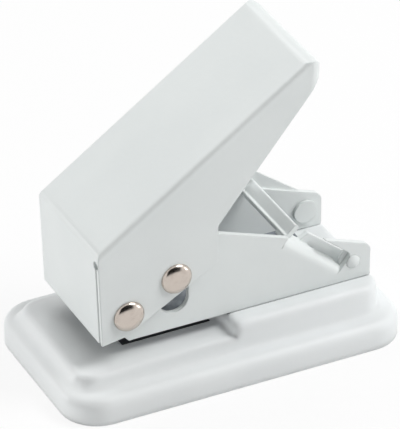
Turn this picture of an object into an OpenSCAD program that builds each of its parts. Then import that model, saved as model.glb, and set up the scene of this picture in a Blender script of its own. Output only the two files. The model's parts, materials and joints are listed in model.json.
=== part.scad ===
// Single hole punch: a sheet steel lever hood on a folded frame, standing on a moulded base.
// +X runs from the front (paper side) to the rear, +Z is up, the origin is under the middle of the base.

/* [Base] */
// Length of the base
base_l = 100; // [96:1:116]
// Width of the base
base_w = 55.5; // [52:0.5:66]
// Corner radius of the base in plan
base_corner = 10.7; // [9:0.1:13]
// Height of the top of the lower flange
flange_top = 7.8; // [7:0.1:8.4]
// Rounding of the flange's upper edge
flange_round = 2.8; // [2:0.1:3.2]
// Width of the flange in front of the upper tier
ledge_front = 1.6; // [1.2:0.1:3]
// Width of the flange behind the upper tier
ledge_rear = 5.2; // [4.4:0.1:6]
// Width of the flange beside the upper tier
ledge_side = 5.9; // [5:0.1:7]
// Corner radius of the upper tier in plan
tier_corner = 6; // [5:0.5:9]
// Height of the front deck that carries the paper
deck_z = 11.5; // [10:0.1:11.8]
// Thickness of the front deck
deck_t = 4.2; // [3.8:0.1:5]
// Rounding of the front deck's edge
deck_round = 1.6; // [1.2:0.1:2.4]
// Height of the paper throat between the front deck and the frame
throat_h = 4.3; // [4.2:0.1:6]
// Rounding of the rear deck's edge
rear_round = 2; // [1.5:0.1:3]
// Distance of the rear deck's front end behind the middle
step_x = 0; // [-1:0.5:3]
// Wall of the base
base_wall = 2.2; // [1.8:0.1:2.8]
// Thickness of the chip cover
cover_t = 1.5; // [1.2:0.1:1.8]
// Rim of the base around the chip cover
cover_rim = 3; // [2.4:0.1:4]
// Height of the rubber feet
foot_h = 0.4; // [0.3:0.1:0.8]
// Diameter of the rubber feet
foot_d = 10; // [8:0.5:12]
// Distance of the feet from the edge of the chip cover
foot_inset = 3.5; // [2:0.5:6]

/* [Frame] */
// Sheet thickness of the frame
sheet_t = 1.5; // [1.2:0.1:1.8]
// Distance of the plates' rear edge from the rear end of the base
plate_setback = 6.3; // [5:0.1:7]
// Height of the plates at their rear edge
ear_h = 9.9; // [9.5:0.1:12]
// Slope of the plates' long top edge
plate_slope = 19.5; // [18:0.1:21]
// Height of the plates under the hood
plate_h = 26; // [25:0.5:28]
// Rounding of the ears' top corner
ear_round = 3; // [1:0.1:5]
// Radius of the plates' nose around the pivot
nose_r = 5.5; // [5:0.1:6.5]
// Side play of the drive sleeve in its slots
slot_play = 0.45; // [0.4:0.05:0.8]

// Distance of the far plate's brow behind the middle, at its lower end
brow_x = 37; // [35:0.1:38]
// Slope of the far plate's brow
brow_slope = 36.5; // [35:0.5:38]
// Drop of the brow's top below the plates' top
brow_drop = 1; // [0.5:0.1:2]

/* [Cross strip and lip] */
// Distance of the strip's front edge behind the middle
strip_x = 18.4; // [17:0.1:19]
// Slope of the strip's face
strip_angle = 42; // [38:0.5:48]
// Length of the strip's face up its slope
strip_w = 3.5; // [3:0.1:4]
// Width of the level land along the strip's front edge
strip_land = 0.9; // [0.6:0.1:1.2]
// Distance of the lip's front end behind the middle
lip_x = 18.7; // [17:0.1:20]
// Slope of the lip
lip_angle = 39; // [36:0.5:42]
// Length of the lip's wide part down its slope
lip_len = 10.4; // [9:0.1:12]
// Width of the lip's wide part over the inside of the frame
lip_w = 6.25; // [5.8:0.05:6.6]
// Start of the lip's upturned rib down its slope
rib_start = 7; // [6:0.1:7.6]
// Height of the lip's upturned rib
rib_h = 2.8; // [2:0.1:3.4]
// Length of the rib past the relief slot
rib_past = 4.4; // [3:0.1:4.6]
// Outer radius of the lip's fold
bend_r = 3; // [2.4:0.1:3.4]
// Sheet left between the relief slot and the hole of the rear rivet
relief_land = 0.4; // [0.3:0.1:1]
// Width of the relief slot above the lip
relief_rise = 4.1; // [3.4:0.1:4.4]
// Corner radius of the relief slot's lower end
relief_corner = 1.5; // [1:0.1:2]

/* [Lever] */
// Width of the hood
lever_w = 36.8; // [36:0.1:38]
// Sheet thickness of the hood
lever_t = 1.2; // [1:0.1:1.4]
// Distance of the hood's front face before the pivot
front_reach = 8.8; // [8.2:0.1:10]
// Lean of the hood's front face, its lower edge set back
front_lean = 2; // [0:0.5:4]
// Drop of the front flap's lower edge below the pivot
front_drop = 7.6; // [6.5:0.1:8]
// Rise of the hood's top over the pivot at its front face
front_rise = 20.8; // [20:0.1:23]
// Slope of the hood's top
hood_slope = 34.85; // [33:0.05:37]
// Distance of the hood's tip behind the pivot
tip_reach = 57.4; // [53:0.1:60]
// Height of the closed tip
tip_h = 8; // [6:0.1:9]
// Distance of the waist behind the pivot
waist_reach = 26.3; // [24:0.1:28]
// Upper rise of the waist over the pivot
waist_high = 20.7; // [19:0.1:22]
// Lower rise of the waist over the pivot
waist_low = 9.2; // [8:0.1:11]
// Length of the level lower edge behind the front face
toe_len = 8; // [6:0.1:10]
// Radius of the bend between front and top
front_bend = 3.6; // [2:0.1:5]
// Radius of the bend at the tip
tip_bend = 3.9; // [1.6:0.1:4]
// Corner radius of the tip in plan
tip_corner = 4.2; // [2:0.1:6]
// Radius of the bends between top and sides
side_bend = 1.5; // [1.4:0.1:2.4]
// Width of the slits at the front corners
slit_w = 0.8; // [0.6:0.1:1]
// Radius of the relief hole at the top of each slit
slit_hole_r = 1.3; // [1:0.1:1.4]

/* [Pivot and drive] */
// Distance of the pivot before the middle
pivot_front = 30.4; // [30:0.1:31]
// Height of the pivot above the underside of the frame
pivot_rise = 10.4; // [10:0.1:11]
// Distance from the pivot to the drive rivet
drive_arm = 16; // [15.5:0.1:16.4]
// Rise of the drive rivet over the pivot, as an angle at rest
drive_angle = 29; // [28:0.5:30]
// Swing of the lever when it is pressed
press_angle = 26; // [24:1:27]
// Diameter of the pivot rivet
pivot_d = 4.4; // [4:0.1:5]
// Diameter of the drive rivet
drive_d = 3.8; // [3:0.1:4.2]
// Diameter of the drive sleeve
sleeve_d = 5.6; // [5.2:0.1:6]
// Diameter of the domed heads
head_d = 8.8; // [8:0.1:9.6]
// Height of the domed heads
head_h = 1.8; // [1.2:0.1:2.2]
// Diameter of the spacer tube on the pivot rivet
tube_d = 7.2; // [6.5:0.1:8]
// Diameter of the spacer washers on the pivot rivet
washer_d = 9; // [8:0.1:10]
// Thickness of the spacer washers on the pivot rivet
washer_t = 2.1; // [1.6:0.1:2.6]

/* [Rear rivets] */
// Distance of the rear rivets from the plates' rear edge
ear_inset = 5.3; // [4.8:0.1:5.8]
// Height of the rear rivets above the underside of the frame
ear_rivet_rise = 5.7; // [5.3:0.1:6]
// Diameter of the rear rivets
ear_rivet_d = 2.8; // [2.4:0.1:3.2]
// Diameter of the rear rivets' inner heads
ear_head_d = 7; // [6.2:0.1:7.4]
// Diameter of the rear rivets' outer ends
ear_tail_d = 4.2; // [3.8:0.1:4.8]
// Thickness of the rear rivets' heads and ends
ear_head_h = 0.8; // [0.6:0.1:1.1]

/* [Punch] */
// Diameter of the punched hole
punch_d = 6; // [5:0.1:6.4]
// Height of the punch's tip above the underside of the frame at rest
tip_rise = 0.6; // [0.4:0.1:0.9]
// Diameter of the punch's head
punch_head_d = 7.8; // [7.4:0.1:8.6]
// Height of the punch's head
punch_head_h = 1.2; // [1:0.1:1.4]
// Wall of the guide bush
guide_wall = 1.4; // [1:0.1:1.5]
// Height of the guide bush
guide_h = 4.6; // [4:0.1:5]
// Thickness of the spring cap
cap_t = 0.8; // [0.6:0.1:1]
// Thickness of the washer under the spring
seat_t = 0.4; // [0.3:0.1:0.6]
// Thickness of the retaining clip
clip_t = 0.6; // [0.4:0.1:0.8]
// Wire diameter of the return spring
wire_d = 0.7; // [0.6:0.05:0.8]
// Mean radius of the return spring
coil_r = 5.6; // [5.5:0.05:5.8]
// Number of turns of the return spring
coil_turns = 4.5; // [3.5:0.5:5]

/* [Die] */
// Length of the die plate
die_l = 26; // [24:0.5:28]
// Width of the die plate
die_w = 20; // [16:0.5:24]
// Thickness of the die plate
die_t = 2; // [1.6:0.1:2.4]
// Wall of the die ring
die_wall = 2.4; // [2:0.1:3]
// Gap between the punch and the die ring
die_gap = 0.05; // [0.03:0.01:0.1]
// Distance of the die screws from the punch
die_screw_reach = 9.5; // [9:0.1:10]
// Diameter of the die screws
die_screw_d = 2; // [1.6:0.1:2.4]

/* [Mounting screws] */
// Distance of the front mounting screw behind the middle
screw_front_x = 10; // [8:0.5:12]
// Distance between the mounting screws
screw_pitch = 17; // [14:0.5:18]
// Diameter of the mounting screws
screw_d = 3; // [2.5:0.1:3.5]
// Length of the mounting screws below the floor of the frame
screw_len = 7; // [5:0.5:8]
// Diameter of the mounting screws' heads
screw_head_d = 5.6; // [5:0.1:6.4]

/* [Hidden] */

$fn = 64;
paint = [0.93, 0.94, 0.94];
nickel = [0.80, 0.75, 0.71];
steel = [0.55, 0.57, 0.59];
rubber = [0.25, 0.25, 0.26];

// Running clearance of pins in holes, and play between faces that rub
pin_gap = 0.05;
face_gap = 0.1;
rest_gap = 0.3;

// Reach of cutting shapes past a face, depth to which joined shapes overlap, and a length past everything
cut = 1;
overlap = 0.5;
far = 200;

// Flat left beside a rounding, and rounding of the hood's lower edge
edge_land = 0.2;
hem_round = 1.2;
toe_rise = 1.1;

// Small sizes of the frame: lower front corner behind the pivot, roundings, and the gap before the rivets
nose_setback = 1.6;
foot_round = 0.8;
crown_round = 3;
shoulder_round = 2;
floor_gap = 1;
fold_leg = 1.5;
fold_skin = 0.02;
lip_drop = 0.25;
strip_round = 0.35;
riser_run = 2;
brow_t = 0.75;
brow_run = 1.4;
rib_rake = 1.6;
rib_depth = 1.5;
slot_spare = 2;
screw_play = 0.2;

// Small sizes of the punch and of what holds the spring
groove_depth = 0.45;
clip_rim = 1.8;
clip_play = 0.03;
mouth_ratio = 1.6;
seat_rim = 0.6;
cap_rim = 0.4;
notch_depth = 0.9;
notch_ratio = 2.2;

// Small sizes of the screws, of their slots, and of the base and the chip cover around them
chip_relief = 0.8;
boss_wall = 1.8;
boss_floor = 1;
die_fit = 0.1;
cover_fit = 0.15;
die_screw_len = 3.4;
die_slot_w = 0.5;
die_slot_depth = 0.5;
screw_head_h = 2;
cross_w = 0.7;
cross_depth = 0.8;

rear_z = deck_z + throat_h;
tier_front = ledge_front - base_l / 2;
tier_rear = base_l / 2 - ledge_rear;
tier_w = base_w - 2 * ledge_side;
hull_sides = 32;
cover_top = foot_h + cover_t;
frame_z = rear_z;
floor_top = frame_z + sheet_t;
hood_in = lever_w / 2 - lever_t;
plate_out = hood_in - face_gap - washer_t;
plate_in = plate_out - sheet_t;
plate_rear = base_l / 2 - plate_setback;
ear_top = frame_z + ear_h;
plate_top = frame_z + plate_h;
pivot_x = -pivot_front;
pivot_z = frame_z + pivot_rise;
drive_x = pivot_x + drive_arm * cos(drive_angle);
drive_z = pivot_z + drive_arm * sin(drive_angle);
drive_low_x = pivot_x + drive_arm * cos(drive_angle - press_angle);
drive_low_z = pivot_z + drive_arm * sin(drive_angle - press_angle);
punch_x = (drive_x + drive_low_x) / 2;
punch_travel = drive_z - drive_low_z;
ear_rivet_x = plate_rear - ear_inset;
ear_rivet_z = frame_z + ear_rivet_rise;
floor_rear = ear_rivet_x - ear_head_d / 2 - floor_gap;
nose_foot_x = pivot_x + nose_setback;

// Slot of the drive sleeve: its ends clear the sleeve at rest and leave room below it when pressed
swing_x = punch_x - drive_x;
slot_r = sleeve_d / 2 + swing_x + slot_play;
slot_high_z = drive_z - sqrt(pow(swing_x + slot_play - rest_gap, 2) - swing_x * swing_x);
slot_low_z = drive_low_z - slot_spare;

// Stack of the punch, from the sleeve down
head_top_z = drive_z - sleeve_d / 2 - face_gap;
head_low_z = head_top_z - punch_head_h;
cap_low_z = head_low_z - cap_t;
clip_low_z = cap_low_z - clip_t;
seat_top_z = floor_top + seat_t;
punch_r = punch_d / 2;
guide_r = punch_r + guide_wall;
groove_r = punch_r - groove_depth;
clip_r = groove_r + clip_rim;
spring_out_r = coil_r + wire_d / 2;
die_hole_r = punch_r + die_gap;
die_ring_r = die_hole_r + die_wall;
chip_hole_r = die_hole_r + chip_relief;

function unit(v) = v / norm(v);
function turn(v) = atan2(v[1], v[0]);
function short_way(a) = a > 180 ? a - 360 : a < -180 ? a + 360 : a;

// Points of an arc of radius r that rounds the corner b between a and c
function corner_arc(a, b, c, r, steps) =
    let (u = unit(a - b), v = unit(c - b), half = acos(u * v) / 2)
    let (centre = b + unit(u + v) * r / sin(half))
    let (start = turn(b + u * r / tan(half) - centre), stop = turn(b + v * r / tan(half) - centre))
    [for (i = [0:steps])
        let (angle = start + short_way(stop - start) * i / steps)
        centre + r * [cos(angle), sin(angle)]];

// Outline through points [x, y, radius], where a radius of 0 leaves the corner sharp
function rounded(points, steps = 8) =
    let (n = len(points), flat = [for (p = points) [p[0], p[1]]])
    [for (i = [0:n - 1])
        each points[i][2] > 0
            ? corner_arc(flat[(i + n - 1) % n], flat[i], flat[(i + 1) % n], points[i][2], steps)
            : [flat[i]]];

function box_outline(x0, x1, w, r) =
    rounded([[x0, -w / 2, r], [x1, -w / 2, r], [x1, w / 2, r], [x0, w / 2, r]]);

// Height of the plates' long top edge
function edge_z(x) = ear_top + (plate_rear - x) * tan(plate_slope);

// Extrudes an outline drawn in X and Z from y0 to y1
module sheet_y(y0, y1) {
    translate([0, y1, 0])
        rotate([90, 0, 0])
            linear_extrude(y1 - y0)
                children();
}

// Cylinder along Y from y0 to y1
module bar_y(x, z, r, y0, y1) {
    translate([x, y1, z])
        rotate([90, 0, 0])
            cylinder(r = r, h = y1 - y0);
}

module bar_z(x, r, z0, z1) {
    translate([x, 0, z0])
        cylinder(r = r, h = z1 - z0);
}

// Low dome of radius r and height h, standing on the XY plane
module dome(r, h) {
    ball_r = (r * r + h * h) / (2 * h);
    rotate_extrude()
        intersection() {
            translate([0, h - ball_r])
                circle(ball_r);
            square([r, h]);
        }
}

// Slab with rounded corners and a rounded upper edge, with its own corner radius at each end
module soft_slab(x0, x1, w, z0, z1, front_r, rear_r, edge_r) {
    hull()
        for (side = [-1, 1], end = [[x0, front_r, 1], [x1, rear_r, -1]])
            translate([end[0] + end[2] * end[1], side * (w / 2 - end[1]), z0]) {
                cylinder(r = end[1], h = z1 - z0 - edge_r, $fn = hull_sides);
                translate([0, 0, z1 - z0 - edge_r])
                    rotate_extrude($fn = hull_sides)
                        translate([end[1] - edge_r, 0])
                            intersection() {
                                circle(edge_r, $fn = hull_sides);
                                square(edge_r);
                            }
            }
}

screw_xs = [screw_front_x, screw_front_x + screw_pitch];
boss_r = screw_d / 2 + boss_wall;
screw_low_z = floor_top - sheet_t - screw_len;
die_screw_xs = [punch_x - die_screw_reach, punch_x + die_screw_reach];
die_low_z = deck_z - die_t;

module base_tray() {
    room_w = tier_w - 2 * base_wall;
    room_r = tier_corner - base_wall;
    rear_wall = base_wall + rear_round / 2;
    color(paint)
        difference() {
            union() {
                difference() {
                    union() {
                        soft_slab(-base_l / 2, base_l / 2, base_w, foot_h, flange_top,
                                  base_corner, base_corner, flange_round);
                        soft_slab(tier_front, tier_rear, tier_w, foot_h, deck_z,
                                  tier_corner, tier_corner, deck_round);
                        soft_slab(step_x, tier_rear, tier_w, foot_h, rear_z,
                                  rear_round + edge_land, tier_corner, rear_round);
                    }
                    translate([0, 0, cover_top])
                        linear_extrude(deck_z - deck_t - cover_top)
                            polygon(box_outline(tier_front + base_wall, tier_rear - base_wall,
                                                room_w, room_r));
                    translate([0, 0, cover_top])
                        linear_extrude(rear_z - rear_wall - cover_top)
                            polygon(box_outline(step_x + rear_wall, tier_rear - rear_wall,
                                                room_w - rear_round, room_r));
                }
                for (x = screw_xs)
                    bar_z(x, boss_r, screw_low_z - boss_floor, rear_z - base_wall);
            }
            translate([0, 0, -cut])
                linear_extrude(cover_top + cut)
                    polygon(box_outline(-base_l / 2 + cover_rim, base_l / 2 - cover_rim,
                                        base_w - 2 * cover_rim, base_corner - cover_rim));
            for (x = screw_xs)
                bar_z(x, screw_d / 2 + pin_gap, screw_low_z - pin_gap, rear_z + cut);
            translate([punch_x - die_l / 2 - die_fit, -die_w / 2 - die_fit, die_low_z])
                cube([die_l + 2 * die_fit, die_w + 2 * die_fit, die_t + cut]);
            bar_z(punch_x, chip_hole_r, 0, deck_z);
            for (x = die_screw_xs)
                bar_z(x, die_screw_d / 2 + pin_gap, deck_z - die_screw_len - pin_gap, deck_z);
        }
}

module chip_cover() {
    inset = cover_rim + cover_fit;
    length = base_l - 2 * inset;
    color(paint)
        translate([0, 0, foot_h])
            linear_extrude(cover_t)
                polygon(box_outline(-length / 2, length / 2, base_w - 2 * inset, base_corner - inset));
}

module rubber_feet() {
    foot_x = base_l / 2 - cover_rim - foot_d / 2 - foot_inset;
    foot_y = base_w / 2 - cover_rim - foot_d / 2 - foot_inset;
    color(rubber)
        for (x = [-foot_x, foot_x], y = [-foot_y, foot_y])
            translate([x, y, 0])
                cylinder(d = foot_d, h = foot_h);
}

module die_plate() {
    color(steel)
        difference() {
            translate([punch_x - die_l / 2, -die_w / 2, die_low_z])
                cube([die_l, die_w, die_t]);
            bar_z(punch_x, die_ring_r + pin_gap, die_low_z - cut, deck_z + cut);
            for (x = die_screw_xs)
                countersunk(x, pin_gap);
        }
}

module die_ring() {
    color(steel)
        difference() {
            bar_z(punch_x, die_ring_r, die_low_z, deck_z);
            bar_z(punch_x, die_hole_r, die_low_z - cut, deck_z + cut);
        }
}

// Countersunk screw or, with a gap, its hole
module countersunk(x, gap) {
    sink = die_screw_d / 2;
    bar_z(x, die_screw_d / 2 + gap, deck_z - die_screw_len, deck_z);
    translate([x, 0, deck_z - sink])
        cylinder(r1 = die_screw_d / 2 + gap, r2 = die_screw_d + gap, h = sink);
}

module die_screws() {
    color(steel)
        for (x = die_screw_xs)
            difference() {
                countersunk(x, 0);
                translate([x - far, -die_slot_w / 2, deck_z - die_slot_depth])
                    cube([2 * far, die_slot_w, die_slot_depth + cut]);
            }
}

// Outline of a side plate in X and Z, with the holes that both plates share
module plate_outline() {
    slot_corner = slot_r - edge_land / 2;
    difference() {
        polygon(rounded([
            [nose_foot_x, frame_z, foot_round],
            [plate_rear, frame_z, foot_round],
            [plate_rear, ear_top, ear_round],
            [plate_rear - (plate_top - ear_top) / tan(plate_slope), plate_top, shoulder_round],
            [pivot_x + nose_r, plate_top, crown_round],
            [pivot_x - nose_r, pivot_z + nose_r / 2, nose_r],
            [pivot_x - nose_r, pivot_z - nose_r / 2, nose_r]]));
        translate([pivot_x, pivot_z])
            circle(pivot_d / 2 + pin_gap);
        translate([ear_rivet_x, ear_rivet_z])
            circle(ear_rivet_d / 2 + pin_gap);
        polygon(rounded([
            [punch_x - slot_r, slot_low_z - slot_r, slot_corner],
            [punch_x + slot_r, slot_low_z - slot_r, slot_corner],
            [punch_x + slot_r, slot_high_z + slot_r, slot_corner],
            [punch_x - slot_r, slot_high_z + slot_r, slot_corner]]));
    }
}

// Place of the rear rivet down the lip's slope, and the relief slot that stops short of it
rivet_back = ear_rivet_x - lip_x;
rivet_drop = edge_z(lip_x) - lip_drop - ear_rivet_z;
rivet_down = rivet_back * cos(lip_angle) + rivet_drop * sin(lip_angle);
relief_len = rivet_down - ear_rivet_d / 2 - pin_gap - relief_land;

// Moves shapes to the lip's front end, with X down the slope and Z square to the lip
module on_lip() {
    translate([lip_x, 0, edge_z(lip_x) - lip_drop])
        rotate([0, lip_angle, 0])
            children();
}

// Lip folded in from the near plate, narrowed to a curl beyond its length and to the plate near the rivet
module folded_lip() {
    outer = plate_out - fold_skin;
    inner = plate_in + fold_skin;
    under = outer - inner;
    curl_reach = bend_r - outer + edge_land;
    curl_len = relief_len + overlap;
    curl_end = rivet_down - ear_head_d / 2 - rest_gap;
    on_lip()
        difference() {
            rotate([90, 0, 90])
                linear_extrude(curl_len)
                    polygon(rounded([
                        [-outer, -bend_r - fold_leg, 0],
                        [-outer, 0, bend_r],
                        [lip_w - outer, 0, 0],
                        [lip_w - outer, -under, 0],
                        [-inner, -under, bend_r - under],
                        [-inner, -bend_r - fold_leg, 0]]));
            translate([lip_len, curl_reach, -under - cut])
                cube([curl_len, far, under + 2 * cut]);
            translate([curl_end, edge_land - inner, -far / 2])
                cube([curl_len, far, far]);
        }
}

// Rib turned up from the lip's inner edge, running on behind the relief slot
module lip_rib() {
    edge_y = lip_w - plate_out - 2 * fold_skin;
    rib_end = relief_len + rib_past;
    on_lip()
        sheet_y(edge_y - sheet_t, edge_y)
            polygon([
                [rib_start, -sheet_t / 2],
                [rib_start + rib_rake, rib_h],
                [rib_end, rib_h],
                [rib_end, -rib_depth],
                [lip_len + edge_land, -rib_depth],
                [lip_len - edge_land, -sheet_t / 2]]);
}

// Brow of the far plate, a thin gusset over its long edge
module far_brow() {
    top_z = plate_top - brow_drop;
    crest_x = brow_x - (top_z - edge_z(brow_x)) / tan(brow_slope);
    front_x = crest_x - brow_run;
    sheet_y(plate_out - brow_t, plate_out - 3 * fold_skin)
        polygon([
            [brow_x + brow_run, edge_z(brow_x) - brow_run * tan(brow_slope)],
            [crest_x, top_z],
            [front_x, top_z],
            [front_x - brow_run, edge_z(front_x - brow_run) - 2 * brow_run]]);
}

// Cross strip turned in from a riser on the far plate, lying on the lip's front end
module cross_strip() {
    z0 = edge_z(strip_x) - lip_drop;
    crease = strip_x + strip_land;
    up = [cos(strip_angle), sin(strip_angle)];
    down = [sin(strip_angle), -cos(strip_angle)];
    crest = [crease, z0] + strip_w * up;
    under = crest + sheet_t * down;
    middle = crest + sheet_t / 2 * down - edge_land * up;
    riser_foot = under[0] + riser_run;
    sheet_y(overlap - plate_in, plate_out - fold_skin)
        polygon(rounded([
            [strip_x, z0, strip_round],
            [crease, z0, 0],
            [crest[0], crest[1], strip_round],
            [under[0], under[1], strip_round],
            [crease + sheet_t * tan(strip_angle / 2), z0 - sheet_t, 0],
            [strip_x, z0 - sheet_t, strip_round]]));
    sheet_y(plate_in + fold_skin, plate_out - 2 * fold_skin)
        polygon([
            [strip_x + edge_land, z0 - sheet_t / 2],
            [crease, z0 - sheet_t / 2],
            middle,
            [riser_foot, edge_z(riser_foot) - overlap],
            [strip_x + edge_land, z0 - 2 * sheet_t]]);
}

// Relief slot beside the lip, cut through the near plate with a rounded lower end
module relief_slot() {
    slot_floor = -bend_r - edge_land;
    on_lip()
        sheet_y(-plate_out - cut, cut - plate_in)
            polygon(rounded([
                [-edge_land, slot_floor, 0],
                [relief_len, slot_floor, relief_corner],
                [relief_len, relief_rise, relief_corner],
                [-edge_land, relief_rise, 0]]));
}

module frame() {
    color(paint)
        difference() {
            union() {
                difference() {
                    sheet_y(-plate_out, -plate_in)
                        plate_outline();
                    relief_slot();
                }
                sheet_y(plate_in, plate_out)
                    plate_outline();
                translate([nose_foot_x + sheet_t, -plate_in - overlap, frame_z])
                    cube([floor_rear - nose_foot_x - sheet_t, 2 * (plate_in + overlap), sheet_t]);
                folded_lip();
                lip_rib();
                cross_strip();
                far_brow();
            }
            bar_z(punch_x, guide_r + pin_gap, frame_z - cut, floor_top + cut);
            for (x = screw_xs)
                bar_z(x, screw_d / 2 + screw_play, frame_z - cut, floor_top + cut);
        }
}

module guide_bush() {
    color(steel)
        difference() {
            bar_z(punch_x, guide_r, frame_z, frame_z + guide_h);
            bar_z(punch_x, punch_r + pin_gap, frame_z - cut, frame_z + guide_h + cut);
        }
}

module spring_seat() {
    color(steel)
        difference() {
            bar_z(punch_x, spring_out_r + seat_rim, floor_top, seat_top_z);
            bar_z(punch_x, guide_r + face_gap, floor_top - cut, seat_top_z + cut);
        }
}

module mount_screws() {
    color(nickel)
        for (x = screw_xs)
            difference() {
                union() {
                    bar_z(x, screw_d / 2, screw_low_z, floor_top);
                    translate([x, 0, floor_top])
                        dome(screw_head_d / 2, screw_head_h);
                }
                translate([x, 0, floor_top + screw_head_h])
                    for (angle = [0, 90])
                        rotate([0, 0, angle])
                            cube([screw_head_d / 2, cross_w, 2 * cross_depth], center = true);
            }
}

// Rivet along Y on the near side, with a flat inner head and a domed outer end
module rear_rivet() {
    inner_y = plate_in - pin_gap;
    bar_y(ear_rivet_x, ear_rivet_z, ear_rivet_d / 2, -plate_out, -inner_y);
    bar_y(ear_rivet_x, ear_rivet_z, ear_head_d / 2, -inner_y, -inner_y + ear_head_h);
    translate([ear_rivet_x, -plate_out, ear_rivet_z])
        rotate([90, 0, 0])
            dome(ear_tail_d / 2, ear_head_h);
}

module rear_rivets() {
    color(paint) {
        rear_rivet();
        mirror([0, 1, 0])
            rear_rivet();
    }
}

// Rivet along Y with a domed head on each side, face_y from the middle
module two_head_rivet(x, z, r, face_y) {
    bar_y(x, z, r, -face_y, face_y);
    for (side = [-1, 1])
        translate([x, side * face_y, z])
            rotate([-side * 90, 0, 0])
                dome(head_d / 2, head_h);
}

module pivot_rivet() {
    color(nickel)
        two_head_rivet(pivot_x, pivot_z, pivot_d / 2, lever_w / 2 + face_gap);
}

module pivot_tube() {
    tube_end = plate_in - pin_gap;
    color(steel)
        difference() {
            bar_y(pivot_x, pivot_z, tube_d / 2, -tube_end, tube_end);
            bar_y(pivot_x, pivot_z, pivot_d / 2 + pin_gap, -plate_out, plate_out);
        }
}

module pivot_washers() {
    color("ivory")
        for (side = [-1, 1])
            difference() {
                bar_y(pivot_x, pivot_z, washer_d / 2,
                      side > 0 ? plate_out : face_gap - hood_in, side > 0 ? hood_in - face_gap : -plate_out);
                bar_y(pivot_x, pivot_z, pivot_d / 2 + pin_gap, -lever_w, lever_w);
            }
}

// Heights and ends of the hood, from the pivot
hood_front = pivot_x - front_reach;
hood_tip = pivot_x + tip_reach;
hood_top = pivot_z + front_rise;

function hood_top_z(x) = hood_top + (x - hood_front) * tan(hood_slope);

// Side outline of the hood, drawn in by skin along its front, top and tip, and open below by drop
module hood_outline(skin, drop) {
    front_x = hood_front + skin;
    end_x = hood_tip - skin;
    lift = skin / cos(hood_slope);
    toe_z = pivot_z - front_drop - drop;
    toe_x = front_x + (hood_top - toe_z) * tan(front_lean);
    edge_r = drop > 0 ? 0 : hem_round;
    polygon(rounded([
        [toe_x, toe_z, 0],
        [front_x, hood_top_z(front_x) - lift, front_bend - skin],
        [end_x, hood_top_z(end_x) - lift, tip_bend - skin],
        [end_x, hood_top_z(hood_tip) - tip_h - drop, edge_r],
        [pivot_x + waist_reach, pivot_z + waist_high - drop, edge_r],
        [pivot_x + waist_reach, pivot_z + waist_low - drop, edge_r],
        [hood_front + toe_len, toe_z + toe_rise, edge_r]]));
}

// Long bar along the hood's top with rounded upper edges, drawn in by skin
module hood_bar(skin) {
    half_w = lever_w / 2 - skin;
    bend = side_bend - skin;
    translate([hood_front, 0, hood_top])
        rotate([0, -hood_slope, 0])
            translate([-far / 2, 0, 0])
                rotate([90, 0, 90])
                    linear_extrude(far)
                        polygon(rounded([
                            [-half_w, -far, 0],
                            [half_w, -far, 0],
                            [half_w, -skin, bend],
                            [-half_w, -skin, bend]]));
}

// Upright block with the hood's rounded tip in plan, drawn in by skin
module hood_plan(skin) {
    half_w = lever_w / 2 - skin;
    end_x = hood_tip - skin;
    linear_extrude(far)
        polygon(rounded([
            [-far, -half_w, 0],
            [end_x, -half_w, tip_corner - skin],
            [end_x, half_w, tip_corner - skin],
            [-far, half_w, 0]]));
}

module hood_block(skin, drop) {
    intersection() {
        sheet_y(-lever_w / 2, lever_w / 2)
            hood_outline(skin, drop);
        hood_bar(skin);
        hood_plan(skin);
    }
}

module lever_hood() {
    open_drop = 30;
    slit_y = hood_in - slit_w;
    slit_top = hood_top - front_bend;
    hole_depth = lever_t + front_bend * tan(front_lean) + cut;
    slit_depth = lever_t + (front_rise + front_drop) * tan(front_lean) + cut;
    color(paint)
        difference() {
            hood_block(0, 0);
            hood_block(lever_t, open_drop);
            for (side = [-1, 1]) {
                translate([hood_front - cut, side > 0 ? slit_y : -hood_in, 0])
                    cube([slit_depth, slit_w, slit_top]);
                translate([hood_front - cut, side * (hood_in - slit_w / 2), slit_top])
                    rotate([0, 90, 0])
                        cylinder(r = slit_hole_r, h = hole_depth);
            }
            bar_y(pivot_x, pivot_z, pivot_d / 2 + pin_gap, -lever_w, lever_w);
            bar_y(drive_x, drive_z, drive_d / 2 + pin_gap, -lever_w, lever_w);
        }
}

module drive_rivet() {
    color(nickel)
        two_head_rivet(drive_x, drive_z, drive_d / 2, lever_w / 2);
}

module drive_sleeve() {
    color(steel)
        difference() {
            bar_y(drive_x, drive_z, sleeve_d / 2, pin_gap - hood_in, hood_in - pin_gap);
            bar_y(drive_x, drive_z, drive_d / 2 + pin_gap, -lever_w, lever_w);
        }
}

module punch_pin() {
    notch_r = notch_ratio * punch_r;
    color(steel)
        difference() {
            union() {
                bar_z(punch_x, punch_r, frame_z + tip_rise, head_top_z);
                bar_z(punch_x, punch_head_d / 2, head_low_z, head_top_z);
            }
            bar_y(punch_x, frame_z + tip_rise + notch_depth - notch_r, notch_r, -punch_d, punch_d);
            difference() {
                bar_z(punch_x, punch_head_d, clip_low_z, cap_low_z);
                bar_z(punch_x, groove_r, clip_low_z - cut, cap_low_z + cut);
            }
        }
}

module spring_cap() {
    color(steel)
        difference() {
            bar_z(punch_x, spring_out_r + cap_rim, cap_low_z, head_low_z);
            bar_z(punch_x, punch_r + pin_gap, cap_low_z - cut, head_low_z + cut);
        }
}

module punch_clip() {
    mouth = mouth_ratio * groove_r;
    color(steel)
        difference() {
            bar_z(punch_x, clip_r, clip_low_z + clip_play, cap_low_z - clip_play);
            bar_z(punch_x, groove_r + pin_gap, clip_low_z - cut, cap_low_z + cut);
            translate([punch_x, -mouth / 2, clip_low_z - cut])
                cube([far, mouth, clip_t + 2 * cut]);
        }
}

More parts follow.
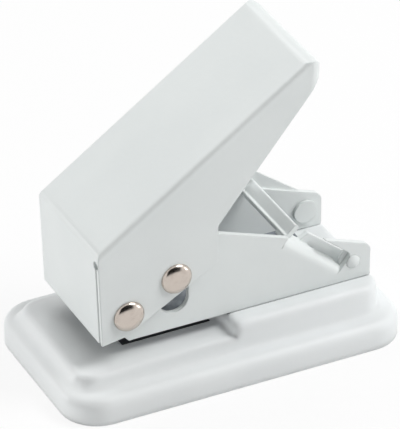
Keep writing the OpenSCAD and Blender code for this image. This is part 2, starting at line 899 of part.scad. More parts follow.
// Return spring: rings of six points along a helix, joined into one tube
rings_per_turn = 8;
ring_sides = 6;
wire_r = wire_d / 2;
spring_low_z = seat_top_z + wire_r + pin_gap;
spring_high_z = cap_low_z - wire_r - pin_gap;
ring_count = round(coil_turns * rings_per_turn);
coil_pitch = (spring_high_z - spring_low_z) / coil_turns;

function coil_point(i) =
    let (angle = 360 * i / rings_per_turn)
    [punch_x + coil_r * cos(angle), coil_r * sin(angle), spring_low_z + coil_pitch * i / rings_per_turn];

function coil_ring(i) =
    let (angle = 360 * i / rings_per_turn, out = [cos(angle), sin(angle), 0])
    [for (k = [0:ring_sides - 1])
        coil_point(i) + wire_r * (out * cos(360 * k / ring_sides) + [0, 0, sin(360 * k / ring_sides)])];

coil_gap = min([for (i = [0:ring_count], j = [i + rings_per_turn - 2:ring_count])
    norm(coil_point(i) - coil_point(j))]) - wire_d;

module return_spring() {
    echo(least_gap_of_the_spring_to_itself = coil_gap);
    points = [for (i = [0:ring_count]) each coil_ring(i)];
    walls = [for (i = [0:ring_count - 1], k = [0:ring_sides - 1])
        let (a = i * ring_sides + k, b = i * ring_sides + (k + 1) % ring_sides)
        each [[a, a + ring_sides, b], [b, a + ring_sides, b + ring_sides]]];
    last = ring_count * ring_sides;
    caps = [for (k = [1:ring_sides - 2])
        each [[0, k, k + 1], [last, last + k + 1, last + k]]];
    color(steel)
        polyhedron(points, concat(walls, caps));
}

base_tray();
chip_cover();
rubber_feet();
die_plate();
die_ring();
die_screws();
frame();
guide_bush();
spring_seat();
mount_screws();
rear_rivets();
pivot_rivet();
pivot_tube();
pivot_washers();
lever_hood();
drive_rivet();
drive_sleeve();
punch_pin();
spring_cap();
punch_clip();
return_spring();
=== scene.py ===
import json
import math

import bmesh
import bpy
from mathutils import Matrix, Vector

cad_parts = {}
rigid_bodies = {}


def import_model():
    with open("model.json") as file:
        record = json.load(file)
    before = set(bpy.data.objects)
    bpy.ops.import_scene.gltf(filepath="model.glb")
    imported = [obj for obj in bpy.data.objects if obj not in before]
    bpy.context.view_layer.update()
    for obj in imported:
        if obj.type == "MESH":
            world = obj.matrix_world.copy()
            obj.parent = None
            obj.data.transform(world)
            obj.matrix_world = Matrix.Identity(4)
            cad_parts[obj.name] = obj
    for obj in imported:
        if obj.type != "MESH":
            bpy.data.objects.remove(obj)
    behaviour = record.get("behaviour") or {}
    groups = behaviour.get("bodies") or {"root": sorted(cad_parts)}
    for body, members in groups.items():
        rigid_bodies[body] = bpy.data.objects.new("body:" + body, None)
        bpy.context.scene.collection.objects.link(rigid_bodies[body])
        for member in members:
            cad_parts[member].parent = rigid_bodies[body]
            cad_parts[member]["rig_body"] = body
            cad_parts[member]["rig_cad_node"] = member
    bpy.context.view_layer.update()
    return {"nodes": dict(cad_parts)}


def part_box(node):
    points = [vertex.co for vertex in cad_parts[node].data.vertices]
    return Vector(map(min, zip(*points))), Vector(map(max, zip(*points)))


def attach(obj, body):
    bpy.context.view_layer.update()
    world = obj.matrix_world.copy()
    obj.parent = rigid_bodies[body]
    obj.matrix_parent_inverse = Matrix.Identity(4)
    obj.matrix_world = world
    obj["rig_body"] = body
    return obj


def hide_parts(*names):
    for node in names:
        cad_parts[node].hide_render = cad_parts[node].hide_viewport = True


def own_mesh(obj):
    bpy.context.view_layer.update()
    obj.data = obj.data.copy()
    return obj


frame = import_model()
nodes = frame["nodes"]
scene = bpy.context.scene

# what a new Blender file brings along
for spare in ("Cube", "Light", "Camera"):
    if spare in bpy.data.objects:
        bpy.data.objects.remove(bpy.data.objects[spare])

# camera at the photograph's place
cameraSet = {
    "eye": (-0.44285, -0.89150, 0.67115),
    "facing": (0.3753, 0.7561, -0.5362),
    "lens": 370.0,
    "sensor": 36.0,
    "nearest": 0.05,
    "farthest": 30,
}
bpy.ops.object.select_all(action="DESELECT")
bpy.ops.object.camera_add(
    location=cameraSet["eye"],
    rotation=Vector(cameraSet["facing"]).to_track_quat("-Z", "Y").to_euler(),
)
camera = bpy.context.object
camera.data.lens = cameraSet["lens"]
camera.data.sensor_width = cameraSet["sensor"]
camera.data.clip_start = cameraSet["nearest"]
camera.data.clip_end = cameraSet["farthest"]
scene.camera = camera
scene.view_settings.view_transform = "Standard"
print("camera placed")


class Wire:  # one socket; sums on it add Math nodes
    def __init__(self, finish, socket):
        self.finish = finish
        self.socket = socket

    def sum(self, operation, other=0.0, swapped=False):
        first, second = (other, self) if swapped else (self, other)
        return self.finish.node("ShaderNodeMath", {"operation": operation}, {0: first, 1: second})

    def __add__(self, other):
        return self.sum("ADD", other)

    def __rsub__(self, other):
        return self.sum("SUBTRACT", other, True)

    def __mul__(self, other):
        return self.sum("MULTIPLY", other)

    def __lt__(self, other):
        return self.sum("LESS_THAN", other)

    def __gt__(self, other):
        return self.sum("GREATER_THAN", other)

    def larger(self, other):
        return self.sum("MAXIMUM", other)

    def wave(self):
        return self.sum("SINE")

    __radd__ = __add__
    __rmul__ = __mul__


class Finish:  # one node tree, of a material or of the world
    def __init__(self, name, holder=None):
        self.material = holder or bpy.data.materials.new(name)
        self.material.use_nodes = True
        self.tree = self.material.node_tree
        self.tree.nodes.clear()

    def node(self, kind, settings=None, sockets=None, out=0):
        made = self.tree.nodes.new(kind)
        for key, value in (settings or {}).items():
            setattr(made, key, value)
        for key, value in (sockets or {}).items():
            if isinstance(value, Wire):
                self.tree.links.new(value.socket, made.inputs[key])
            else:
                made.inputs[key].default_value = value
        return Wire(self, made.outputs[out]) if made.outputs else None

    def place(self):
        return self.node("ShaderNodeTexCoord", out="Object")

    def stretched(self, scale):
        return self.node("ShaderNodeMapping", {}, {"Vector": self.place(), "Scale": scale})

    def noise(self, scale, detail, where=None, roughness=0.5):
        return self.node("ShaderNodeTexNoise", {}, {
            "Vector": where or self.place(), "Scale": scale,
            "Detail": detail, "Roughness": roughness})

    def ramp(self, value, low, high, lowGrey=0.0, highGrey=1.0):
        return self.node("ShaderNodeMapRange", {"interpolation_type": "SMOOTHSTEP"}, {
            "Value": value, "From Min": low, "From Max": high,
            "To Min": lowGrey, "To Max": highGrey})

    def specks(self, scale, size, share):
        cell = {"Vector": self.place(), "Scale": scale}
        spot = self.node("ShaderNodeTexVoronoi", {}, cell, "Distance")
        colour = self.node("ShaderNodeTexVoronoi", {}, cell, "Color")
        pick = self.node("ShaderNodeSeparateColor", {}, {"Color": colour})
        return self.ramp(spot, size, size / 2) * (pick < share)

    def mix(self, share, first, second):  # sockets 6, 7 and 2 are the node's colours
        kind = {"data_type": "RGBA"}
        return self.node("ShaderNodeMix", kind, {0: share, 6: first, 7: second}, 2)

    def crease(self, reach, samples=6):
        return 1 - self.node(
            "ShaderNodeAmbientOcclusion", {"samples": samples}, {"Distance": reach}, "AO")

    def rounded(self, radius, samples=6):
        return self.node("ShaderNodeBevel", {"samples": samples}, {"Radius": radius})

    def edges(self, radius, flat, bent):
        soft = self.rounded(radius, samples=4)
        hard = self.node("ShaderNodeNewGeometry", out="Normal")
        facing = self.node(
            "ShaderNodeVectorMath", {"operation": "DOT_PRODUCT"}, {0: soft, 1: hard}, "Value")
        return self.ramp(facing, flat, bent)

    def bump(self, height, depth, below=None):
        sockets = {"Strength": 1.0, "Distance": depth, "Height": height}
        if below:
            sockets["Normal"] = below
        return self.node("ShaderNodeBump", {}, sockets)

    def surface(self, **sockets):
        named = {key.replace("_", " "): value for key, value in sockets.items()}
        shader = self.node("ShaderNodeBsdfPrincipled", {}, named)
        self.node("ShaderNodeOutputMaterial", {}, {"Surface": shader})
        return self.material


def tint(red, green, blue):
    return (red, green, blue, 1.0)


# In the finishes a noise is its scale and detail, a span is from and to and then low and high,
# and specks are scale, size and share. Depths, reaches and softness are in metres.

# white moulded plastic of the base
plasticSet = {
    "white": tint(0.835, 0.858, 0.858),
    "shade": tint(0.800, 0.824, 0.828),
    "cloudNoise": (28, 3),
    "cloudSpan": (0.35, 0.65),
    # this tint is painted shade in the creases, in noise patches, and is also the colour of the
    # dust specks
    "dustAndCreaseShade": tint(0.62, 0.63, 0.62),
    "creaseShadeReach": 0.0022,
    "creaseShadeNoise": (300, 4),
    "creaseShadeSpan": (0.3, 0.75, 0.08, 0.42),
    "specks": (210, 0.10, 0.05),
    "speckLevel": 0.5,
    # painted shadow: a dark line on the top deck along the contact under the frame's plates
    "gap": tint(0.16, 0.17, 0.19),  # contact line under the frame's plates
    "contactShadeReach": 0.0009,
    "contactShadeSpan": (0.30, 0.48, 0.0, 0.85),
    "contactShadeAbove": 0.0135,
    "rough": 0.40,
    "roughMore": 0.10,
    "roughNoise": (190, 3),
    "fineNoise": (1500, 3),
    "fineDepth": 0.000006,
    "swellNoise": (75, 1),
    "swellDepth": 0.00005,
    "softness": 0.0026,
}


def mouldedPlastic():
    made, facts = Finish("mouldedPlastic"), plasticSet
    clouds = made.ramp(made.noise(*facts["cloudNoise"]), *facts["cloudSpan"])
    base = made.mix(clouds, facts["white"], facts["shade"])
    # painted shade: creases within the reach darken towards the tint in noise patches; the specks
    # are dust
    patches = made.ramp(made.noise(*facts["creaseShadeNoise"]), *facts["creaseShadeSpan"])
    specks = made.specks(*facts["specks"]) * facts["speckLevel"]
    dustAndCreaseShade = (made.crease(facts["creaseShadeReach"]) * patches).larger(specks)
    base = made.mix(dustAndCreaseShade, base, facts["dustAndCreaseShade"])
    height = made.node("ShaderNodeSeparateXYZ", {}, {"Vector": made.place()}, "Z")
    # painted shadow along the contact under the frame's plates, kept to the top deck
    gap = made.ramp(made.crease(facts["contactShadeReach"]), *facts["contactShadeSpan"])
    swell = made.bump(
        made.noise(*facts["swellNoise"]), facts["swellDepth"], made.rounded(facts["softness"]))
    return made.surface(
        Base_Color=made.mix(gap * (height > facts["contactShadeAbove"]), base, facts["gap"]),
        Roughness=facts["rough"] + facts["roughMore"] * made.noise(*facts["roughNoise"]),
        IOR=1.47,
        Normal=made.bump(made.noise(*facts["fineNoise"]), facts["fineDepth"], swell),
    )


# pale baked paint of the lever, the frame and the rear rivets
paintSet = {
    "coat": tint(0.782, 0.815, 0.808),
    "shade": tint(0.752, 0.786, 0.781),
    "cloudNoise": (34, 4),
    "cloudSpan": (0.3, 0.7),
    "thin": tint(0.70, 0.72, 0.72),  # rubbed edges
    "thinReach": 0.00035,
    "thinBend": (0.995, 0.80),  # cosines on a flat and at an edge
    "thinNoise": (420, 4),
    "thinSpan": (0.42, 0.72, 0.0, 0.55),
    "speck": tint(0.33, 0.33, 0.32),
    "specks": (170, 0.06, 0.05),
    "speckLevel": 0.55,
    "rough": 0.33,
    "roughMore": 0.10,
    "roughNoise": (230, 3),
    "peelNoise": (640, 2),
    "peelRoughness": 0.4,
    "peelDepth": 0.000022,
    "grainNoise": (2600, 2),
    "grainDepth": 0.000003,
    "softness": 0.0005,
}


def bakedPaint():
    made, facts = Finish("bakedPaint"), paintSet
    clouds = made.ramp(made.noise(*facts["cloudNoise"]), *facts["cloudSpan"])
    base = made.mix(clouds, facts["coat"], facts["shade"])
    patches = made.ramp(made.noise(*facts["thinNoise"]), *facts["thinSpan"])
    rubbed = made.edges(facts["thinReach"], *facts["thinBend"]) * patches
    base = made.mix(rubbed, base, facts["thin"])
    specks = made.specks(*facts["specks"]) * facts["speckLevel"]
    waves = made.noise(*facts["peelNoise"], roughness=facts["peelRoughness"])
    peel = made.bump(waves, facts["peelDepth"], made.rounded(facts["softness"]))
    return made.surface(
        Base_Color=made.mix(specks, base, facts["speck"]),
        Roughness=facts["rough"] + facts["roughMore"] * made.noise(*facts["roughNoise"]),
        IOR=1.5,
        Normal=made.bump(made.noise(*facts["grainNoise"]), facts["grainDepth"], peel),
    )


# plated rivets and screws, with fine turning rings about a line along Y
nickelSet = {
    "plate": tint(0.60, 0.535, 0.480),
    "dull": tint(0.55, 0.485, 0.435),
    "dullNoise": (450, 5),
    "dullSpan": (0.45, 0.75),
    "rings": 21000,  # radians per metre from the axis
    "ringNoise": (500, 2),
    "ringWander": 2.5,
    "ringDepth": 0.0000006,
    "rough": 0.15,
    "roughMore": 0.12,
    "roughNoise": (900, 4),
    "dentNoise": (700, 2),
    "dentDepth": 0.000002,
}


def platedNickel(name, axisX, axisZ):
    made, facts = Finish(name), nickelSet
    sums = "ShaderNodeVectorMath"
    offset = made.node(sums, {"operation": "SUBTRACT"}, {0: made.place(), 1: (axisX, 0, axisZ)})
    across = made.node(sums, {"operation": "MULTIPLY"}, {0: offset, 1: (1, 0, 1)})
    away = made.node(sums, {"operation": "LENGTH"}, {0: across}, "Value")
    wander = facts["ringWander"] * made.noise(*facts["ringNoise"])
    rings = (away * facts["rings"] + wander).wave()
    dull = made.ramp(made.noise(*facts["dullNoise"]), *facts["dullSpan"])
    dents = made.bump(made.noise(*facts["dentNoise"]), facts["dentDepth"])
    return made.surface(
        Base_Color=made.mix(dull, facts["plate"], facts["dull"]),
        Metallic=1.0,
        Roughness=facts["rough"] + facts["roughMore"] * made.noise(*facts["roughNoise"]),
        Normal=made.bump(rings, facts["ringDepth"], dents),
    )


# bright steel, drawn along one direction
steelSet = {
    "bright": tint(0.58, 0.59, 0.60),
    "dark": tint(0.46, 0.47, 0.48),
    "stainNoise": (260, 4),
    "stainSpan": (0.4, 0.75),
    "along": 160,
    "across": 5200,
    "lineDetail": 3,
    "lineDepth": 0.000004,
    "rough": 0.22,
    "roughMore": 0.16,
}


def drawnSteel(name, axis):
    made, facts = Finish(name), steelSet
    grain = [facts["across"]] * 3
    grain[axis] = facts["along"]
    lines = made.noise(1, facts["lineDetail"], made.stretched(grain))
    stain = made.ramp(made.noise(*facts["stainNoise"]), *facts["stainSpan"])
    return made.surface(
        Base_Color=made.mix(stain, facts["bright"], facts["dark"]),
        Metallic=1.0,
        Roughness=facts["rough"] + facts["roughMore"] * lines,
        Normal=made.bump(lines, facts["lineDepth"]),
    )


# dark steel that paints shade: paler inside the frame, nearly black on the die plate
shadeSteelSet = {
    "innerSteelShade": (tint(0.215, 0.236, 0.262), tint(0.350, 0.375, 0.405)),
    "dieSteelShade": (tint(0.030, 0.033, 0.038), tint(0.075, 0.080, 0.088)),
    "patchNoise": (330, 5),
    "patchSpan": (0.38, 0.70),
    "rolled": (260, 4200, 4200),
    "rolledDetail": 3,
    "rolledDepth": 0.000004,
    "metal": 0.35,
    "rough": 0.30,
    "roughMore": 0.22,
    "roughNoise": (600, 4),
}


def shadeSteel(name):
    made, facts = Finish(name), shadeSteelSet
    patches = made.ramp(made.noise(*facts["patchNoise"]), *facts["patchSpan"])
    rolled = made.noise(1, facts["rolledDetail"], made.stretched(facts["rolled"]))
    return made.surface(
        # painted shade: both colour pairs are dark so that shaded places read dark
        Base_Color=made.mix(patches, *facts[name]),
        Metallic=facts["metal"],
        Roughness=facts["rough"] + facts["roughMore"] * made.noise(*facts["roughNoise"]),
        Normal=made.bump(rolled, facts["rolledDepth"]),
    )


# rubber of the feet
rubberSet = {
    "dark": tint(0.060, 0.060, 0.063),
    "pale": tint(0.085, 0.085, 0.086),
    "patchNoise": (350, 4),
    "patchSpan": (0.4, 0.7),
    "grainNoise": (1300, 4),
    "grainDepth": 0.00003,
    "rough": 0.72,
    "roughMore": 0.16,
}


def footRubber():
    made, facts = Finish("footRubber"), rubberSet
    patches = made.ramp(made.noise(*facts["patchNoise"]), *facts["patchSpan"])
    grain = made.noise(*facts["grainNoise"])
    return made.surface(
        Base_Color=made.mix(patches, facts["dark"], facts["pale"]),
        Roughness=facts["rough"] + facts["roughMore"] * grain,
        Normal=made.bump(grain, facts["grainDepth"]),
    )


# natural nylon of the washers
nylonSet = {
    "pale": tint(0.74, 0.71, 0.62),
    "dark": tint(0.66, 0.62, 0.53),
    "patchNoise": (380, 4),
    "patchSpan": (0.35, 0.7),
    "grainNoise": (1200, 3),
    "grainDepth": 0.000008,
    "rough": 0.38,
    "roughMore": 0.14,
    "roughNoise": (800, 3),
}


def washerNylon():
    made, facts = Finish("washerNylon"), nylonSet
    patches = made.ramp(made.noise(*facts["patchNoise"]), *facts["patchSpan"])
    return made.surface(
        Base_Color=made.mix(patches, facts["pale"], facts["dark"]),
        Roughness=facts["rough"] + facts["roughMore"] * made.noise(*facts["roughNoise"]),
        Normal=made.bump(made.noise(*facts["grainNoise"]), facts["grainDepth"]),
    )


def middle(node):
    low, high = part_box(node)
    return (low + high) / 2


pivotAt = middle("pivot_rivet")
driveAt = middle("drive_rivet")
finishes = {
    "plastic": mouldedPlastic(),
    "paint": bakedPaint(),
    "pivotNickel": platedNickel("pivotNickel", pivotAt.x, pivotAt.z),
    "driveNickel": platedNickel("driveNickel", driveAt.x, driveAt.z),
    "screwNickel": platedNickel("screwNickel", 0.0, 0.0),
    "plateSteel": drawnSteel("plateSteel", 0),
    "crossSteel": drawnSteel("crossSteel", 1),
    "uprightSteel": drawnSteel("uprightSteel", 2),
    "innerSteelShade": shadeSteel("innerSteelShade"),
    "dieSteelShade": shadeSteel("dieSteelShade"),
    "rubber": footRubber(),
    "nylon": washerNylon(),
}
wears = {
    "base_tray": "plastic", "chip_cover": "plastic", "rubber_feet": "rubber",
    "die_plate": "dieSteelShade", "die_ring": "uprightSteel", "die_screws": "plateSteel",
    "frame": "paint", "guide_bush": "uprightSteel", "spring_seat": "plateSteel",
    "mount_screws": "screwNickel", "rear_rivets": "paint", "pivot_rivet": "pivotNickel",
    "pivot_tube": "crossSteel", "pivot_washers": "nylon", "lever_hood": "paint",
    "drive_rivet": "driveNickel", "drive_sleeve": "crossSteel", "punch_pin": "uprightSteel",
    "spring_cap": "plateSteel", "punch_clip": "plateSteel", "return_spring": "uprightSteel",
}
for node, finish in wears.items():
    for place in nodes[node].material_slots:
        place.material = finishes[finish]
print("finishes made:", len(finishes))

# sheet and moulded pieces with softened edges, from merged copies of their solids
# edges that reach into a crisp box stay as they are
shellSet = {
    "leverHood": {
        "node": "lever_hood", "body": "lever", "slot": "paint",
        "weld": 0.000002, "edge": 0.00025, "least": 0.0009, "smooth": 34, "even": True,
        "crisp": (((-0.0420, 0.0150, 0.0180), (-0.0365, 0.0183, 0.0460)),)},  # the closed seam
    "sideFrame": {
        "node": "frame", "body": "base", "slot": "paint",
        "weld": 0.00003, "edge": 0.00022, "least": 0.0009, "smooth": 34, "even": True,
        "crisp": (  # the lip, the brow and the strip
            ((0.008, -0.020, 0.019), (0.043, -0.008, 0.040)),
            ((0.006, 0.012, 0.028), (0.040, 0.020, 0.045)),
            ((0.010, -0.012, 0.026), (0.024, 0.016, 0.045)))},
    "baseTray": {
        "node": "base_tray", "body": "base", "slot": "base_plastic",
        "weld": 0.000002, "edge": 0.00025, "least": 0.0005, "smooth": 62, "even": False,
        "crisp": ()},
    "chipCover": {
        "node": "chip_cover", "body": "base", "slot": "base_plastic",
        "weld": 0.000002, "edge": 0.00030, "least": 0.0005, "smooth": 62, "even": False,
        "crisp": ()},
}
edgeSet = {  # which edges are softened, and how
    "sharp": math.radians(38),
    "slim": 2.2,
    "flat": math.radians(0.3),
    "steps": 2,
    "evenWeight": 100,
}
draftSet = {  # the tier's upper rim stands back from its foot
    "above": 0.0085, "frontX": -0.040, "front": 0.0026, "sideY": 0.0150, "side": 0.9634}
flangeSet = {  # the flange's lower edge comes close to the ground
    "flatX": 0.0393, "flatY": 0.01705, "outer": 0.0104, "below": 0.0012, "drop": 0.00036}
seamSet = {  # the slit at the hood's far front corner is pressed shut
    "box": ((-0.0420, 0.0153, 0.0180), (-0.0365, 0.0183, 0.0450)), "at": 0.0172, "left": 0.02}
innerShadeSet = {  # painted shade: a dark steel finish on the frame's floor round the punch and on its underside
    "reachX": 0.010, "inside": 0.0143, "rise": 0.0178, "under": 0.0145, "facing": -0.6}


def onlySelect(piece):
    bpy.ops.object.select_all(action="DESELECT")
    piece.select_set(True)
    bpy.context.view_layer.objects.active = piece


def isInside(spot, low, high):
    return all(low[axis] < spot[axis] < high[axis] for axis in range(3))


def isOuter(spot):
    overX = max(abs(spot.x) - flangeSet["flatX"], 0)
    overY = max(abs(spot.y) - flangeSet["flatY"], 0)
    return math.hypot(overX, overY) > flangeSet["outer"]


def pick(piece, kind, wanted):
    bpy.ops.mesh.select_mode(type=kind)
    bpy.ops.mesh.select_all(action="DESELECT")
    mesh = bmesh.from_edit_mesh(piece.data)
    for item in {"VERT": mesh.verts, "EDGE": mesh.edges, "FACE": mesh.faces}[kind]:
        if wanted(item):
            item.select_set(True)
    bmesh.update_edit_mesh(piece.data)


def pickCorners(piece, wanted):
    pick(piece, "VERT", lambda corner: wanted(corner.co))


def draftTier(piece):
    above = draftSet["above"]
    pickCorners(piece, lambda spot: spot.z > above and spot.x < draftSet["frontX"])
    bpy.ops.transform.translate(value=(draftSet["front"], 0, 0))
    pickCorners(piece, lambda spot: spot.z > above and abs(spot.y) > draftSet["sideY"])
    bpy.ops.transform.resize(value=(1, draftSet["side"], 1), center_override=(0, 0, 0))


def lowerFlange(piece):
    pickCorners(piece, lambda spot: spot.z < flangeSet["below"] and isOuter(spot))
    bpy.ops.transform.translate(value=(0, 0, -flangeSet["drop"]))


def closeSeam(piece):
    pickCorners(piece, lambda spot: isInside(spot, *seamSet["box"]))
    bpy.ops.transform.resize(
        value=(1, seamSet["left"], 1), center_override=(0, seamSet["at"], 0))


def slimness(face):
    return face.calc_area() / max(edge.calc_length() for edge in face.edges)


def takesBevel(edge, facts):
    if len(edge.link_faces) != 2 or edge.calc_length() < facts["least"]:
        return False
    if edge.calc_face_angle(0) < edgeSet["sharp"]:
        return False
    if min(slimness(face) for face in edge.link_faces) < edgeSet["slim"] * facts["edge"]:
        return False
    return not any(isInside(corner.co, *box) for corner in edge.verts for box in facts["crisp"])


def softShell(name, facts):
    onlySelect(nodes[facts["node"]])
    bpy.ops.object.duplicate()
    piece = bpy.context.object
    piece.name = name
    piece.data.name = name
    piece.parent = None
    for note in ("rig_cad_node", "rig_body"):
        del piece[note]
    bpy.ops.mesh.customdata_custom_splitnormals_clear()
    bpy.ops.object.mode_set(mode="EDIT")
    bpy.ops.mesh.select_all(action="SELECT")
    bpy.ops.mesh.remove_doubles(threshold=facts["weld"])
    bpy.ops.mesh.dissolve_limited(angle_limit=edgeSet["flat"])
    if name == "baseTray":
        draftTier(piece)
        lowerFlange(piece)
    if name == "leverHood":
        closeSeam(piece)
    pick(piece, "EDGE", lambda edge: takesBevel(edge, facts))
    bpy.ops.mesh.bevel(offset=facts["edge"], segments=edgeSet["steps"], affect="EDGES")
    bpy.ops.mesh.select_mode(type="FACE")
    bpy.ops.object.mode_set(mode="OBJECT")
    bpy.ops.object.shade_smooth_by_angle(angle=math.radians(facts["smooth"]))
    if facts["even"]:  # flat sheet stays flat beside its bends
        even = piece.modifiers.new("even", "WEIGHTED_NORMAL")
        even.weight = edgeSet["evenWeight"]
        even.keep_sharp = True
        bpy.ops.object.modifier_apply(modifier=even.name)
    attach(piece, facts["body"])
    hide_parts(facts["node"])
    return piece


def isInnerShade(spot, turn):
    nearPunch = spot.x < innerShadeSet["reachX"] and abs(spot.y) < innerShadeSet["inside"]
    floor = nearPunch and spot.z < innerShadeSet["rise"]
    return floor or (turn.z < innerShadeSet["facing"] and spot.z < innerShadeSet["under"])


shells = {name: softShell(name, facts) for name, facts in shellSet.items()}
# faces round the punch and underneath take the dark steel that paints their shade
sheet = shells["sideFrame"].data
sheet.materials.append(finishes["innerSteelShade"])
for face in sheet.polygons:
    if isInnerShade(face.center, face.normal):
        face.material_index = len(sheet.materials) - 1
print("shells softened:", len(shells))

# cross rivets, each one bar with two domed heads
rivetSet = {
    "sides": 72,
    "headRadius": 0.0044,
    "headHeight": 0.0018,
    "wall": 0.00028,
    "rings": (  # each ring's width and rise, from the rim to the crown
        (0.00010, 0.00022), (0.00016, 0.00022), (0.00022, 0.00020),
        (0.00028, 0.00018), (0.00036, 0.00017), (0.00050, 0.00018),
        (0.00065, 0.00016), (0.00075, 0.00011), (0.00075, 0.00006)),
    "smooth": 60,
    "weld": 0.000002,
    "slack": 0.00001,
    "pieces": {
        "pivotRivet": {
            "node": "pivot_rivet", "body": "base", "finish": "pivotNickel", "bar": 0.0022},
        "driveRivet": {
            "node": "drive_rivet", "body": "lever", "finish": "driveNickel", "bar": 0.0019},
    },
}


def grow(along):
    bpy.ops.mesh.extrude_region_move(TRANSFORM_OT_translate={"value": (0, along, 0)})


def crossRivet(name, facts):
    low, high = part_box(facts["node"])
    centre = (low + high) / 2
    faceY = high.y - rivetSet["headHeight"]
    wide, wall = rivetSet["headRadius"], rivetSet["wall"]
    bpy.ops.object.select_all(action="DESELECT")
    bpy.ops.mesh.primitive_circle_add(
        vertices=rivetSet["sides"], radius=wide, fill_type="NGON",
        location=(centre.x, -faceY - wall, centre.z), rotation=(math.pi / 2, 0, 0))
    piece = bpy.context.object
    piece.name = name
    piece.data.name = name
    bpy.ops.object.transform_apply(location=True, rotation=True, scale=True)
    bpy.ops.object.mode_set(mode="EDIT")
    bpy.ops.mesh.select_mode(type="FACE")
    bpy.ops.mesh.select_all(action="SELECT")
    grow(wall)
    bpy.ops.mesh.inset(thickness=wide - facts["bar"])
    grow(2 * faceY)
    grow(0)
    spread = wide / facts["bar"]
    bpy.ops.transform.resize(
        value=(spread, 1, spread), center_override=(centre.x, faceY, centre.z))
    grow(wall)
    tip = faceY + wall - rivetSet["slack"]
    for side in (-1, 1):
        pick(piece, "FACE", lambda face: face.calc_center_median().y * side > tip)
        for width, rise in rivetSet["rings"]:
            bpy.ops.mesh.inset(thickness=width)
            bpy.ops.transform.translate(value=(0, side * rise, 0))
        bpy.ops.mesh.poke()
    bpy.ops.mesh.select_all(action="SELECT")
    bpy.ops.mesh.remove_doubles(threshold=rivetSet["weld"])
    bpy.ops.mesh.normals_make_consistent(inside=False)
    bpy.ops.object.mode_set(mode="OBJECT")
    bpy.ops.object.shade_smooth_by_angle(angle=math.radians(rivetSet["smooth"]))
    piece.data.materials.append(finishes[facts["finish"]])
    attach(piece, facts["body"])
    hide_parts(facts["node"])


for name, facts in rivetSet["pieces"].items():
    crossRivet(name, facts)
print("rivets set:", len(rivetSet["pieces"]))

# round-wire return spring with closed, ground ends
springSet = {
    "wire": 0.00035,
    "coil": 0.0056,
    "low": 0.0177,
    "gap": 0.00003,
    "openTurns": 4,
    "closedPitch": 2.04,  # in wire radii, as is the ground part
    "ground": 0.35,
    "steps": 40,
    "sides": 12,
    "weld": 0.00001,
    "smooth": 50,
    "keep": 0.389,
}


def windTurns(startZ, pitch, turns, axisX):
    bpy.ops.object.select_all(action="DESELECT")
    bpy.ops.mesh.primitive_circle_add(
        vertices=springSet["sides"], radius=springSet["wire"],
        location=(axisX, 0, startZ), rotation=(math.pi / 2, 0, 0))
    piece = bpy.context.object
    bpy.ops.object.transform_apply(location=False, rotation=True, scale=True)
    bpy.ops.object.mode_set(mode="EDIT")
    bpy.ops.mesh.select_all(action="SELECT")
    bpy.ops.transform.translate(value=(springSet["coil"], 0, 0))
    bpy.ops.object.mode_set(mode="OBJECT")
    wind = piece.modifiers.new("wind", "SCREW")
    wind.axis = "Z"
    wind.angle = 2 * math.pi
    wind.screw_offset = pitch
    wind.iterations = turns
    wind.steps = springSet["steps"]
    wind.render_steps = springSet["steps"]
    bpy.ops.object.modifier_apply(modifier=wind.name)
    bpy.ops.object.transform_apply(location=True, rotation=True, scale=True)
    return piece


def woundSpring():
    wire = springSet["wire"]
    axisX = middle("spring_cap").x
    low = springSet["low"] + springSet["gap"]
    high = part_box("spring_cap")[0].z - springSet["gap"]
    closed = springSet["closedPitch"] * wire
    firstZ = low + springSet["ground"] * wire
    lastZ = high - springSet["ground"] * wire
    openPitch = (lastZ - firstZ - 2 * closed) / springSet["openTurns"]
    stack = [
        windTurns(firstZ, closed, 1, axisX),
        windTurns(firstZ + closed, openPitch, springSet["openTurns"], axisX),
        windTurns(lastZ - closed, closed, 1, axisX),
    ]
    for piece in stack:
        piece.select_set(True)
    bpy.context.view_layer.objects.active = stack[0]
    bpy.ops.object.join()
    spring = bpy.context.object
    spring.name = "returnSpring"
    spring.data.name = "returnSpring"
    bpy.ops.object.mode_set(mode="EDIT")
    bpy.ops.mesh.select_all(action="SELECT")
    bpy.ops.mesh.remove_doubles(threshold=springSet["weld"])
    bpy.ops.mesh.fill_holes(sides=0)
    for height, upper in ((low, False), (high, True)):  # ground flat at both ends
        bpy.ops.mesh.select_all(action="SELECT")
        bpy.ops.mesh.bisect(
            plane_co=(axisX, 0, height), plane_no=(0, 0, 1), use_fill=True,
            clear_inner=not upper, clear_outer=upper)
    bpy.ops.mesh.select_all(action="SELECT")
    bpy.ops.mesh.normals_make_consistent(inside=False)
    bpy.ops.object.mode_set(mode="OBJECT")
    bpy.ops.object.shade_smooth_by_angle(angle=math.radians(springSet["smooth"]))
    spring.data.materials.clear()
    spring.data.materials.append(finishes["uprightSteel"])
    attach(spring, "base")
    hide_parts("return_spring")
    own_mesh(spring)


woundSpring()
print("spring wound")

# floor, sky and lamps
stageSet = {
    "floorSize": 14.0,
    "floorGrey": 0.90,
    "floorLift": 0.86,
    "sky": 0.31,
    "lampAway": 1.2,
    "lamps": {
        "keyLamp": {"turn": -30, "rise": 52, "power": 8.9, "size": 0.45},
        "topLamp": {"turn": 90, "rise": 52, "power": 3.4, "size": 0.60},
        "rearLamp": {"turn": -30, "rise": 8, "power": 1.1, "size": 0.28},
        "frontLamp": {"turn": 150, "rise": 8, "power": 5.6, "size": 0.28},
    },
    "card": {  # dark card behind the camera, mirrored in the rivets' shoulders
        "wide": 2.4, "tall": 1.8, "away": 1.5, "toward": (-0.071, -0.816, 0.574), "grey": 0.02},
}


def grey(level):
    return tint(level, level, level)


def seenDirectly(made):
    eye, mirror, glass = [
        made.node("ShaderNodeLightPath", out=ray)
        for ray in ("Is Camera Ray", "Is Glossy Ray", "Is Transmission Ray")]
    return eye.larger(mirror).larger(glass)


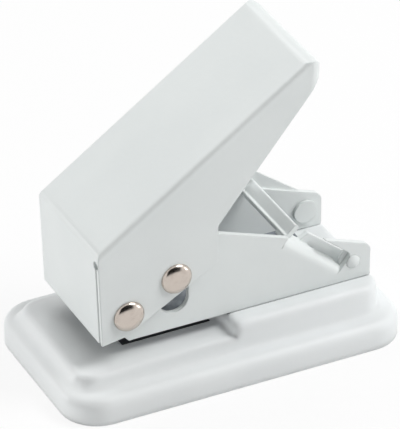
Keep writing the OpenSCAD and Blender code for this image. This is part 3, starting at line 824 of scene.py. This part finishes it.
def layFloor():
    bpy.ops.object.select_all(action="DESELECT")
    bpy.ops.mesh.primitive_plane_add(size=stageSet["floorSize"])
    floor = bpy.context.object
    floor.name = "floor"
    made = Finish("floorWhite")
    matt = made.node("ShaderNodeBsdfDiffuse", {}, {"Color": grey(stageSet["floorGrey"])})
    white = made.node("ShaderNodeEmission", {}, {"Color": grey(1), "Strength": 1.0})
    both = made.node("ShaderNodeMixShader", {}, {
        0: stageSet["floorLift"] * seenDirectly(made), 1: matt, 2: white})
    made.node("ShaderNodeOutputMaterial", {}, {"Surface": both})
    floor.data.materials.append(made.material)


def hangSky():
    made = Finish("sky", scene.world or bpy.data.worlds.new("sky"))
    scene.world = made.material
    level = stageSet["sky"] + (1 - stageSet["sky"]) * seenDirectly(made)
    sky = made.node("ShaderNodeBackground", {}, {"Color": grey(1), "Strength": level})
    made.node("ShaderNodeOutputWorld", {}, {"Surface": sky})


def hangLamp(name, facts):
    turn, rise = math.radians(facts["turn"]), math.radians(facts["rise"])
    place = stageSet["lampAway"] * Vector((
        math.cos(rise) * math.cos(turn), math.cos(rise) * math.sin(turn), math.sin(rise)))
    bpy.ops.object.select_all(action="DESELECT")
    bpy.ops.object.light_add(
        type="AREA", location=place, rotation=(-place).to_track_quat("-Z", "Y").to_euler())
    lamp = bpy.context.object
    lamp.name = name
    lamp.data.energy = facts["power"]
    lamp.data.size = facts["size"]


def hangCard(facts):
    toward = Vector(facts["toward"]).normalized()
    bpy.ops.object.select_all(action="DESELECT")
    bpy.ops.mesh.primitive_plane_add(
        size=1, location=toward * facts["away"],
        rotation=toward.to_track_quat("Z", "Y").to_euler())
    card = bpy.context.object
    card.name = "card"
    card.scale = (facts["wide"], facts["tall"], 1)
    card.visible_camera = False
    card.visible_diffuse = False
    card.visible_shadow = False
    made = Finish("cardBlack")
    black = made.node("ShaderNodeBsdfDiffuse", {}, {"Color": grey(facts["grey"])})
    made.node("ShaderNodeOutputMaterial", {}, {"Surface": black})
    card.data.materials.append(made.material)


layFloor()
hangSky()
for name, facts in stageSet["lamps"].items():
    hangLamp(name, facts)
hangCard(stageSet["card"])
print("stage set")
